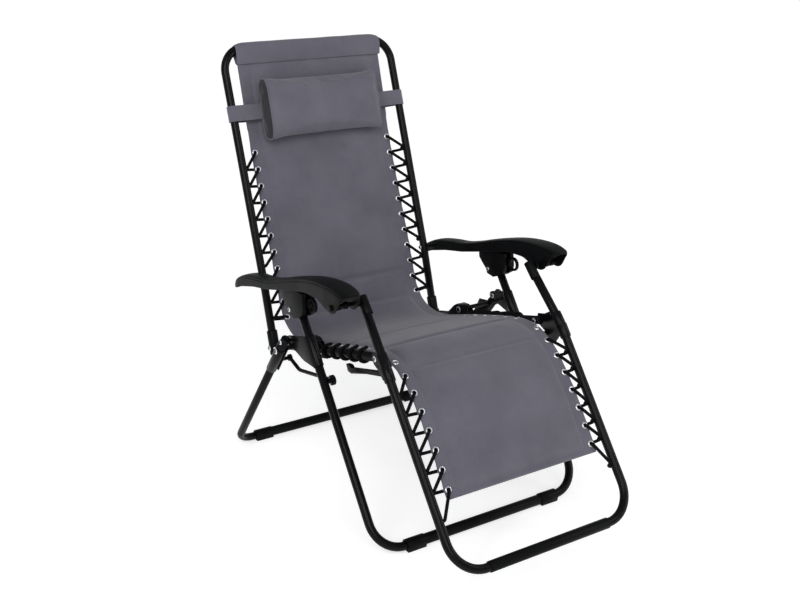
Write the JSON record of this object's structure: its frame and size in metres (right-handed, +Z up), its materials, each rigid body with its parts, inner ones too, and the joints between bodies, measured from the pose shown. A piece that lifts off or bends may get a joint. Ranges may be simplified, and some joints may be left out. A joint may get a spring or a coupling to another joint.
{
  "type": "zero_gravity_recliner",
  "caption": "Folding zero gravity recliner in its upright position: laced padded fabric sling on black steel tube, sliding plastic armrests, head pillow with an elastic strap.",
  "frame": {"origin": "floor level, under the middle of the whole chair", "axes": "+Z up; the sitter faces -Y, so the foot end is at -Y and the back at +Y; the sitter's left side is at +X"},
  "size_m": [0.706, 1.1581, 1.113],
  "materials": {
    "frame_black": "black powder coat, fairly glossy",
    "plastic_black": "satin moulded plastic",
    "sling_grey": "woven grey polyester, quilted over foam",
    "cord_black": "braided elastic cord",
    "rivet_steel": "plain zinc plated rivets and bolts"
  },
  "bodies": {
    "rear_legs": {"rear_leg_frame": "frame_black", "rear_bar_sleeve": "plastic_black", "rear_foot_left": "plastic_black", "rear_foot_right": "plastic_black", "rear_leg_bracket_left": "frame_black", "rear_leg_bracket_right": "frame_black"},
    "front_legs": {"front_leg_frame": "frame_black", "front_bar_sleeve": "plastic_black", "front_foot_left": "plastic_black", "front_foot_right": "plastic_black", "leg_bracket_left": "frame_black", "leg_bracket_right": "frame_black", "leg_pivot_rivet_left": "rivet_steel", "leg_pivot_rivet_right": "rivet_steel", "lock_housing_left": "plastic_black", "lock_housing_right": "plastic_black"},
    "seat": {"sling_seat": "sling_grey", "seat_rail_left": "frame_black", "seat_rail_right": "frame_black", "rail_saddle_left": "frame_black", "rail_saddle_right": "frame_black", "seat_axle_left": "rivet_steel", "seat_axle_right": "rivet_steel", "back_pivot_bolt_left": "rivet_steel", "back_pivot_bolt_right": "rivet_steel", "seat_lacing_left": "cord_black", "seat_lacing_right": "cord_black"},
    "back": {"back_frame": "frame_black", "sling_back": "sling_grey", "back_end_cup_left": "plastic_black", "back_end_cup_right": "plastic_black", "arm_pivot_bolt_left": "rivet_steel", "arm_pivot_bolt_right": "rivet_steel", "back_lacing_upper_left": "cord_black", "back_lacing_upper_right": "cord_black", "back_lacing_lower_left": "cord_black", "back_lacing_lower_right": "cord_black"},
    "leg_rest": {"leg_rest_frame": "frame_black", "sling_leg": "sling_grey", "leg_rest_bar_sleeve": "plastic_black", "knee_bracket_left": "frame_black", "knee_bracket_right": "frame_black", "knee_pivot_rivet_left": "rivet_steel", "knee_pivot_rivet_right": "rivet_steel", "stop_arm_left": "frame_black", "stop_arm_right": "frame_black", "leg_lacing_left": "cord_black", "leg_lacing_right": "cord_black"},
    "headrest": {"head_pillow": "sling_grey", "pillow_strap": "sling_grey"},
    "arm_left": {"armrest_left": "plastic_black", "armrest_axle_left": "frame_black"},
    "stay_left": {"folding_stay_left": "frame_black"},
    "lever_left": {"lock_lever_left": "plastic_black"},
    "arm_right": {"armrest_right": "plastic_black", "armrest_axle_right": "frame_black"},
    "stay_right": {"folding_stay_right": "frame_black"},
    "lever_right": {"lock_lever_right": "plastic_black"}
  },
  "joints": [
    {"name": "leg_fold", "type": "hinge", "parent": "rear_legs", "child": "front_legs", "pos_m": [0, 0.096, 0.427], "axis": [1, 0, 0], "range_deg": [0, 65]},
    {"name": "seat_tilt", "type": "hinge", "parent": "rear_legs", "child": "seat", "pos_m": [0, 0.119, 0.397], "axis": [-1, 0, 0], "range_deg": [0, 16]},
    {"name": "back_recline", "type": "hinge", "parent": "seat", "child": "back", "pos_m": [0, 0.304, 0.325], "axis": [-1, 0, 0], "range_deg": [0, 25]},
    {"name": "leg_rest_swing", "type": "hinge", "parent": "seat", "child": "leg_rest", "pos_m": [0, -0.202, 0.465], "axis": [-1, 0, 0], "range_deg": [0, 40]},
    {"name": "headrest_slide", "type": "slide", "parent": "back", "child": "headrest", "axis": [0, 0.3288, 0.9444], "range_m": [-0.06, 0.03]},
    {"name": "armrest_left", "type": "hinge", "parent": "back", "child": "arm_left", "pos_m": [0.308, 0.36, 0.512], "axis": [-1, 0, 0], "range_deg": [-28, 0]},
    {"name": "armrest_right", "type": "hinge", "parent": "back", "child": "arm_right", "pos_m": [-0.308, 0.36, 0.512], "axis": [-1, 0, 0], "range_deg": [-28, 0]},
    {"name": "stay_left", "type": "hinge", "parent": "front_legs", "child": "stay_left", "pos_m": [0.285, -0.058, 0.366], "axis": [1, 0, 0], "range_deg": [-17.5, 0]},
    {"name": "stay_right", "type": "hinge", "parent": "front_legs", "child": "stay_right", "pos_m": [-0.285, -0.058, 0.366], "axis": [1, 0, 0], "range_deg": [-17.5, 0]},
    {"name": "lever_left", "type": "hinge", "parent": "front_legs", "child": "lever_left", "pos_m": [0.308, 0.027, 0.545], "axis": [1, 0, 0], "range_deg": [0, 25]},
    {"name": "lever_right", "type": "hinge", "parent": "front_legs", "child": "lever_right", "pos_m": [-0.308, 0.027, 0.545], "axis": [1, 0, 0], "range_deg": [0, 25]}
  ],
  "couplings": [
    {"joint": "seat_tilt", "follows": "back_recline", "ratio": 0.6},
    {"joint": "leg_rest_swing", "follows": "back_recline", "ratio": 1.576},
    {"joint": "armrest_left", "follows": "back_recline", "ratio": -1.104},
    {"joint": "armrest_right", "follows": "back_recline", "ratio": -1.104},
    {"joint": "stay_left", "follows": "leg_fold", "ratio": -0.26},
    {"joint": "stay_right", "follows": "leg_fold", "ratio": -0.26}
  ]
}
